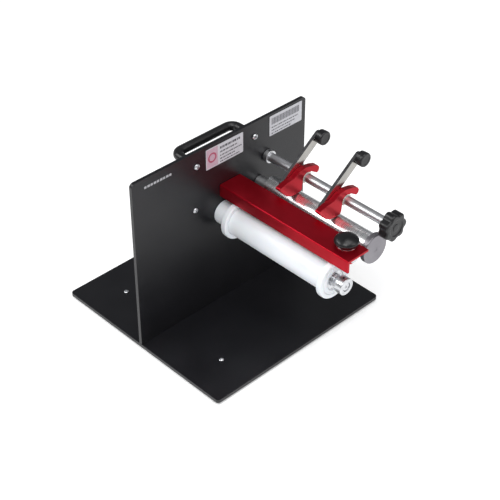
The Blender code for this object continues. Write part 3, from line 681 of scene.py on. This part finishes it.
# ---- blade arms --------------------------------------------------------------------------
def holder_outline():
    """The holder's side: nose, back and beak over the shaft, the shaft's open seat, the foot."""
    nose = [(32.5, 201.5), (27, 207.5)]
    back = [(43, 211.5), (55, 212.3), (66.5, 218.5), (77, 219.8), (90, 217), (100, 213.3)]
    beak = [(102.8, 208.5), (101.5, 204), (98.3, 202.3), (87.2, 209.6)]
    foot = [(70.3, 189.5), (68.3, 186.5), (56.5, 186.3), (49, 187.6), (41, 192)]
    seat = circle(SHAFT, 8.5, 26, math.radians(50), math.radians(130))
    radii = [2.5] * len(nose) + [5] * len(back) + [1.6] * 3 + [0]
    radii += [0] * len(seat) + [0.8] * len(foot)
    return rounded(nose + back + beak + seat + foot, radii, 6)


def hone(blade, middle):
    """Draws the blade's lower edge together to a cutting edge."""
    for vertex in blade.data.vertices:
        if vertex.co.z < 187:
            vertex.co.x = middle + (vertex.co.x - middle) * 0.15


def blade_holder(number, low, high, middle):
    """The red holder, slotted for its blade and drilled for its lever's screw."""
    holder = soften(prism("holder", holder_outline(), low, high), EASED)
    slot = box((middle - 0.6, 47.5, 180), (middle + 0.6, 67.5, 196.6))
    combine(holder, slot, drill(LEVER_HOLE, LEVER_LOW, low - 1, low + 6))
    settle(holder, "blade_holder_%d" % number)


def thin_blade(number, middle):
    outline = [(48, 196), (48, 186.6), (50, 184.85), (66, 184.85), (67, 186), (67, 196)]
    blade = prism("blade", outline, middle - 0.3, middle + 0.3)
    hone(blade, middle)
    settle(blade, "blade_%d" % number, sharp=12)


def shaft_liner(number, low, high):
    """The open nylon ring between the holder and the shaft."""
    first, sweep = math.radians(20), math.radians(215)
    outer = circle(SHAFT, 8.2, 48, first, sweep)
    inner = circle(SHAFT, SHAFT_CLEAR, 48, first, sweep)
    liner = soften(prism("liner", outer + inner[::-1], low + 0.3, high - 0.3), 0.25, 2)
    settle(liner, "shaft_liner_%d" % number)


def lever(number, low, back):
    """The flat bar with round ends; its sawn edges carry painted shade, its faces are bright."""
    ends = (circle(LEVER_LOW, LEVER_R, 24, LEVER_RISE + math.pi / 2, math.pi)
            + circle(LEVER_TOP, LEVER_R, 24, LEVER_RISE - math.pi / 2, math.pi))
    bar = soften(prism("lever", ends, back, low - 0.3), EASED)
    combine(bar, *[drill(LEVER_HOLE, spot, back - 2, low + 2)
                   for spot in (LEVER_LOW, LEVER_TOP)])
    settle(bar, "lever_%d" % number, LEVER_STEEL)
    bar.data.materials.append(LEVER_SHADED_EDGE)
    # Faces turned away from X get the dark material: painted shade on the sawn edges.
    for face in bar.data.polygons:
        if abs(face.normal.x) < 0.35:
            face.material_index = 1


def lever_knob(number, low, back):
    """The round knob and the stud that goes through the lever to its back."""
    corners = [(0, low + 10.4), (6.2, low + 10.6), (6.5, low + 11), (10, low + 11),
               (10, low + 6), (9.6, low + 0.6), (9.0, low), (1.7, low), (1.7, back), (0, back)]
    settle(lathe("knob", corners, [0, 0.6, 0.4, 1.6, 6, 0.8, 0.3, 0.1, 0.3, 0], LEVER_TOP),
           "lever_knob_%d" % number)


def blade_arm(number, low):
    """One arm, whose holder begins at low along the shaft."""
    high, middle, back = low + HOLDER_T, low + HOLDER_T / 2, low - 4.8
    blade_holder(number, low, high, middle)
    thin_blade(number, middle)
    shaft_liner(number, low, high)
    lever(number, low, back)
    lever_knob(number, low, back)
    button_screw("lever_screw_%d" % number, (low - 5.1, *LEVER_LOW), (-1, 0, 0), 3.5, 2.4, 1.7,
                 10, 1.3)


# ---- knobs -------------------------------------------------------------------------------
LOBES = 7
BAR_KNOB = (BAR_KNOB_X, ROD[0])


def lobed_ring(bm, x, radius, depth, sides):
    """A ring of vertices whose radius waves in by depth between the lobes."""
    ring = []
    for i in range(sides):
        a = 2 * math.pi * i / sides
        wave = (1 - math.cos(LOBES * a)) / 2
        r = radius - depth * wave * (1 + 0.35 * wave)
        ring.append(bm.verts.new((x, SHAFT[0] + r * math.cos(a), SHAFT[1] + r * math.sin(a))))
    return ring


def end_knob():
    """The lobed knob: full round edges, a dished face and a bore for its stud."""
    low, high, sides = 217.8, 232.5, LOBES * 24
    bm = bmesh.new()
    stations = [(low + 9.2, 3.3, 0), (low, 3.3, 0), (low, 9.0, 0), (low, 16.8, 1.6)]
    for d in (20, 45, 70, 90):
        a = math.radians(d)
        stations.append((low + 1.6 - 1.6 * math.cos(a), 18.4 + 1.6 * math.sin(a), 2.2))
    for d in (0, 15, 30, 45, 60, 75, 90):
        a = math.radians(d)
        stations.append((high - 2.6 + 2.6 * math.sin(a), 17.4 + 2.6 * math.cos(a), 2.2))
    stations += [(high, 14.0, 1.0), (high, 12.4, 0), (high - 0.2, 11.9, 0),
                 (high - 0.9, 11.3, 0), (high - 1.1, 10.4, 0), (high - 1.1, 6.0, 0),
                 (high - 1.0, 5.7, 0), (high - 0.5, 5.4, 0), (high - 0.35, 4.8, 0),
                 (high - 0.3, 2.0, 0)]
    rings = [lobed_ring(bm, x, r, depth, sides) for x, r, depth in stations]
    for first, second in zip(rings, rings[1:]):
        for i in range(sides):
            j = (i + 1) % sides
            bm.faces.new((first[i], first[j], second[j], second[i]))
    bm.faces.new(rings[-1])
    bm.faces.new(rings[0][::-1])
    settle(new_object("knob", bm), "end_knob", sharp=40)


def bar_knob():
    """The domed knob: a dome over a rounded rim, drawn in to its foot."""
    low = 197.6
    high = low + 13.5
    dome = [(16 * math.cos(a), high - 8.2 + 8.2 * math.sin(a))
            for a in [math.radians(d) for d in range(84, -1, -7)]]
    corners = [(0, high)] + dome + [(15.6, low + 3.4), (14.0, low + 0.8), (13.0, low),
                                    (2.8, low), (2.8, low + 9), (0, low + 9)]
    fillets = [0] * (len(dome) + 1) + [1.5, 1.2, 0.4, 0, 0, 0]
    settle(lathe("knob", corners, fillets, BAR_KNOB, "Z", 96), "bar_knob", sharp=40)


def knob_hardware():
    """Each knob's washer and its threaded stud."""
    washer = [(3.1, 197.3), (13, 197.3), (13, 196.3), (3.1, 196.3)]
    settle(lathe("washer", washer, [0.1, 0.3, 0.3, 0.1], BAR_KNOB, "Z"), "bar_knob_washer")
    stud = [(0, 206.3), (2.1, 206.3), *threaded_end(2.5, 190.2, 206.0, 0.8), (1.8, 189.75),
            (0, 189.75)]
    settle(lathe("stud", stud, 0, BAR_KNOB, "Z", 32), "bar_knob_stud")
    collar("end_knob_washer", SHAFT, 3.3, 8, 216.5, 217.5, 0.3)
    stud = [(0, 226.4), (2.5, 226.4), *threaded_end(3.0, 198.4, 226.0, 1.0), (2.4, 198),
            (0, 198)]
    settle(lathe("stud", stud, 0, SHAFT, "X", 32), "end_knob_stud")


# ---- hold-down bar -----------------------------------------------------------------------
def hold_down_bar():
    """The red angle: a rolled outer corner, eased edges and its two lugs on the rod."""
    corners = [(-7.4, 178.2), (-4.4, 178.2), (-4.4, 193), (29.5, 193), (29.5, 196), (-7.4, 196)]
    bar = prism("bar", rounded(corners, [0, 0, 1.5, 0, 0, 2.0], 6), 3.1, 232)
    soften(bar, 0.45, 3)
    y, lug_r = ROD[0], 9.5
    lugs = []
    for low, high in ((8, 22), (BAR_KNOB_X - 11.5, BAR_KNOB_X + 11.5)):
        outline = circle(ROD, lug_r, 28, math.pi, math.pi)
        outline += [(y + lug_r, 193.6), (y - lug_r, 193.6)]
        lugs.append(soften(prism("lug", outline, low, high), 0.5, 2))
    combine(bar, *lugs, how="UNION")
    combine(bar, drill(SHAFT_CLEAR, ROD, -5, 240), drill(3.0, BAR_KNOB, 185, 200, "Z"))
    settle(bar, "hold_down_bar")


# ---- labels ------------------------------------------------------------------------------
PAPER = 3.0  # the labels' face
INK_LAYER, OVERPRINT = (PAPER, 3.04), (3.04, 3.08)


def printed_patch(name, rectangles, height, look):
    """Thin printed areas on the plate's face, each a (y0, y1, z0, z1) rectangle in mm."""
    bm = bmesh.new()
    low, high = height
    for y0, y1, z0, z1 in rectangles:
        start = len(bm.verts)
        bmesh.ops.create_cube(bm, size=1)
        bm.verts.ensure_lookup_table()
        for vertex in bm.verts[start:]:
            vertex.co = ((low if vertex.co.x < 0 else high), (y0 if vertex.co.y < 0 else y1),
                         (z0 if vertex.co.z < 0 else z1))
    settle(new_object(name, bm), None, look, "stand", "label_paper")


def dashes(y0, y1, z0, z1, seed):
    """A line of short strokes of uneven length, as small print looks from far away."""
    strokes, y, i = [], y0, seed
    while y < y1 - 0.6:
        width = 1.2 + 0.55 * ((i * 7 + 3) % 5)
        strokes.append((y, min(y + width, y1), z0, z1))
        y += width + 0.7 + 0.25 * ((i * 5 + 1) % 3)
        i += 1
    return strokes


def bars(y0, y1, z0, z1):
    """A row of upright bars of uneven width."""
    strokes, y, i = [], y0, 0
    while y < y1 - 0.5:
        width = 0.35 + 0.3 * ((i * 11 + 2) % 4)
        strokes.append((y, min(y + width, y1), z0, z1))
        y += width + 0.35 + 0.25 * ((i * 3 + 1) % 3)
        i += 1
    return strokes


def label_sheets():
    for node, (y0, y1, z0, z1) in {"label_centre": (-30, 35.5, 228.5, 259),
                                   "label_right": (84, 145, 230, 260.5)}.items():
        corners = [(y0, z0), (y1, z0), (y1, z1), (y0, z1)]
        settle(prism("label", rounded(corners, [1.2] * 4, 6), SEATED, PAPER), node)


def centre_label_print():
    """A tinted panel with a plain ring, then five lines of small print."""
    printed_patch("label_centre_panel", [(-29, -9.5, 229.5, 258)], INK_LAYER, PINK)
    middle = (-19.2, 244)
    ring = prism("ring", circle(middle, 7.4, 48), *OVERPRINT, holes=(circle(middle, 5.0, 48),))
    ring.name = "label_centre_ring"
    settle(ring, None, CRIMSON, "stand", "label_paper")
    left, lines = -5.5, []
    rows = ((36, 254.5, 3.4), (30, 247.5, 2.2), (38, 241.8, 1.8), (26, 237.0, 1.8),
            (34, 232.4, 1.6))
    for row, (width, top, tall) in enumerate(rows):
        lines += dashes(left, left + width, top - tall, top, row)
    printed_patch("label_centre_print", lines, INK_LAYER, INK)


def right_label_print():
    """A row of bars over three lines of small print."""
    left = 88
    lines = bars(left, 140, 246.5, 256.5)
    for row, width in enumerate((50, 44, 36)):
        top = 243 - 4.6 * row
        lines += dashes(left, left + width, top - 1.6, top, row + 3)
    printed_patch("label_right_print", lines, INK_LAYER, INK)


def plate_strip():
    """Nine plain dashes printed on the plate itself."""
    strip = []
    for i in range(9):
        y = -132.6 + 5.1 * i
        strip.append((y, y + 3.6 + 0.5 * (i % 2), 249.1, 252.4))
    printed_patch("plate_strip_print", strip, (FRONT, FRONT + 0.06), WHITE_INK)


# ---- everything --------------------------------------------------------------------------
base_plate()
upright_plate()
plate_hardware()
carry_handle()
shafts_and_collars()
rollers()
for arm, arm_low in enumerate(HOLDER_X, start=1):
    blade_arm(arm, arm_low)
end_knob()
bar_knob()
knob_hardware()
hold_down_bar()
label_sheets()
centre_label_print()
right_label_print()
plate_strip()
for name, node_object in NODES.items():
    node_object.data.materials.clear()
    node_object.data.materials.append(LOOKS[SLOT_OF[name]])


# ---- studio ------------------------------------------------------------------------------
def floor():
    """A plain pale floor that glows a little, so it stays near white."""
    bm = bmesh.new()
    bmesh.ops.create_grid(bm, x_segments=8, y_segments=8, size=6)
    obj = new_object("studio_floor", bm)
    s = Shader("pale_floor", (0.92, 0.92, 0.92), 0.65, Emission_Color=(1, 1, 1, 1),
               Emission_Strength=0.30)
    s.colour(s.noise(s.at(), 6, 3), (0.915, 0.915, 0.915), (0.93, 0.93, 0.93))
    obj.data.materials.append(s.mat)


def area(name, place, aim, size, power):
    """A soft white rectangular light at place, facing aim."""
    light = bpy.data.lights.new(name, "AREA")
    light.shape = "RECTANGLE"
    light.size, light.size_y = size
    light.energy = power
    obj = bpy.data.objects.new(name, light)
    obj.location = place
    obj.rotation_euler = (Vector(aim) - Vector(place)).to_track_quat("-Z", "Y").to_euler()
    bpy.context.scene.collection.objects.link(obj)


def studio():
    """A dim, slightly cool surround and four soft lights."""
    world = bpy.data.worlds.new("studio")
    world.use_nodes = True
    background = world.node_tree.nodes["Background"]
    background.inputs["Color"].default_value = (0.95, 0.97, 1.0, 1)
    background.inputs["Strength"].default_value = 0.21
    bpy.context.scene.world = world
    area("key", (0.9, -1.3, 2.2), (0, 0, 0.15), (1.2, 1.2), 30)
    area("strip", (-1.05, -1.05, 1.35), (0.05, 0.05, 0.18), (1.5, 0.55), 17)
    area("fill", (1.9, 0.9, 1.5), (0, 0, 0.15), (1.0, 1.4), 14)
    area("top", (0.6, 0.15, 2.5), (0, 0, 0), (1.5, 1.5), 24)
    bpy.context.scene.view_settings.view_transform = "Standard"


def camera():
    """The photograph's viewpoint: azimuth 46 degrees, elevation 37.6 degrees."""
    data = bpy.data.cameras.new("camera")
    data.lens, data.sensor_width = 94.9, 36
    obj = bpy.data.objects.new("camera", data)
    obj.location = (1.0147, -0.9648, 1.1852)
    obj.rotation_euler = (math.radians(90 - 37.557), 0, math.radians(46.08))
    bpy.context.scene.collection.objects.link(obj)
    bpy.context.scene.camera = obj


floor()
studio()
camera()
